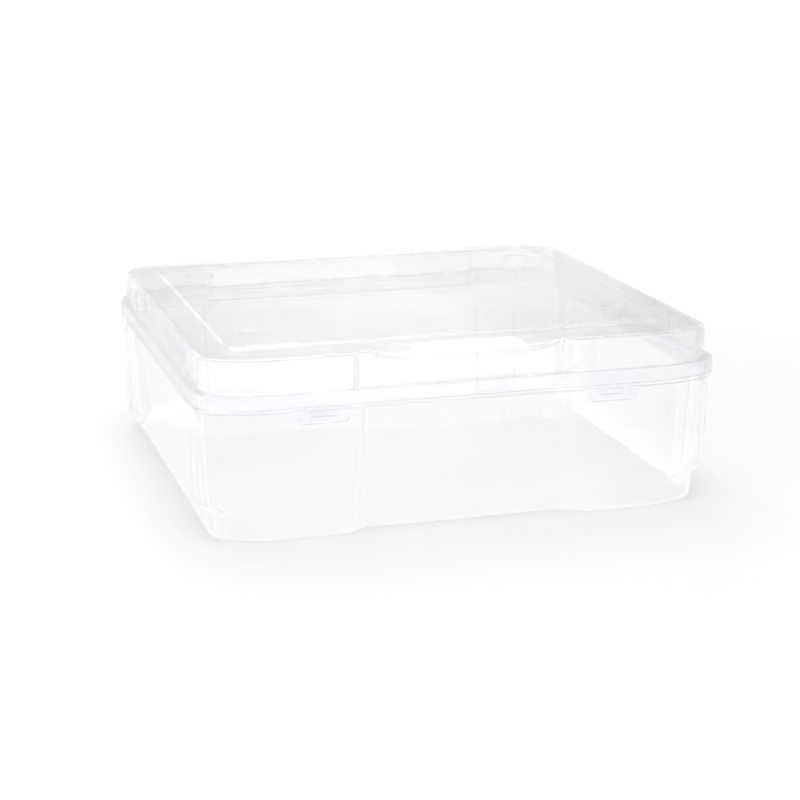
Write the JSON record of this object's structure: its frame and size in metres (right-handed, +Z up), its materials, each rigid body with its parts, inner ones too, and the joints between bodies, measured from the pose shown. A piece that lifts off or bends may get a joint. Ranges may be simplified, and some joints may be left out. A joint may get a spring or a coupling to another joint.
{
  "type": "scrapbook storage case",
  "caption": "Shallow square clear plastic case for flat craft paper, with a one-piece hinged lid, snap latches at the front and a finger lip.",
  "frame": {"origin": "middle of the underside of the tray, on the surface the case stands on", "axes": "+Z up, +X to the right seen from the front, +Y to the back; the latches and the finger lip face -Y, the hinge is at +Y"},
  "size_m": [0.3714, 0.3474, 0.1266],
  "materials": {
    "tray_plastic": "clear",
    "lid_plastic": "clear",
    "latch_plastic": "clear",
    "hinge_plastic": "clear"
  },
  "bodies": {
    "base": {"base_tray": "tray_plastic", "catch_left": "tray_plastic", "catch_right": "tray_plastic", "hinge_leaf_tray": "hinge_plastic"},
    "lid": {"lid_cover": "lid_plastic", "hinge_leaf_lid": "hinge_plastic"},
    "latch_left": {"latch_left": "latch_plastic"},
    "latch_right": {"latch_right": "latch_plastic"}
  },
  "joints": [
    {"name": "lid_hinge", "type": "hinge", "parent": "base", "child": "lid", "pos_m": [0, 0.1732, 0.09135], "axis": [-1, 0, 0], "range_deg": [0, 180]},
    {"name": "latch_left_flex", "type": "hinge", "parent": "lid", "child": "latch_left", "pos_m": [-0.102, -0.172, 0.0903], "axis": [-1, 0, 0], "range_deg": [0, 20], "stiffness_Nm_per_rad": 0.2},
    {"name": "latch_right_flex", "type": "hinge", "parent": "lid", "child": "latch_right", "pos_m": [0.102, -0.172, 0.0903], "axis": [-1, 0, 0], "range_deg": [0, 20], "stiffness_Nm_per_rad": 0.2}
  ]
}
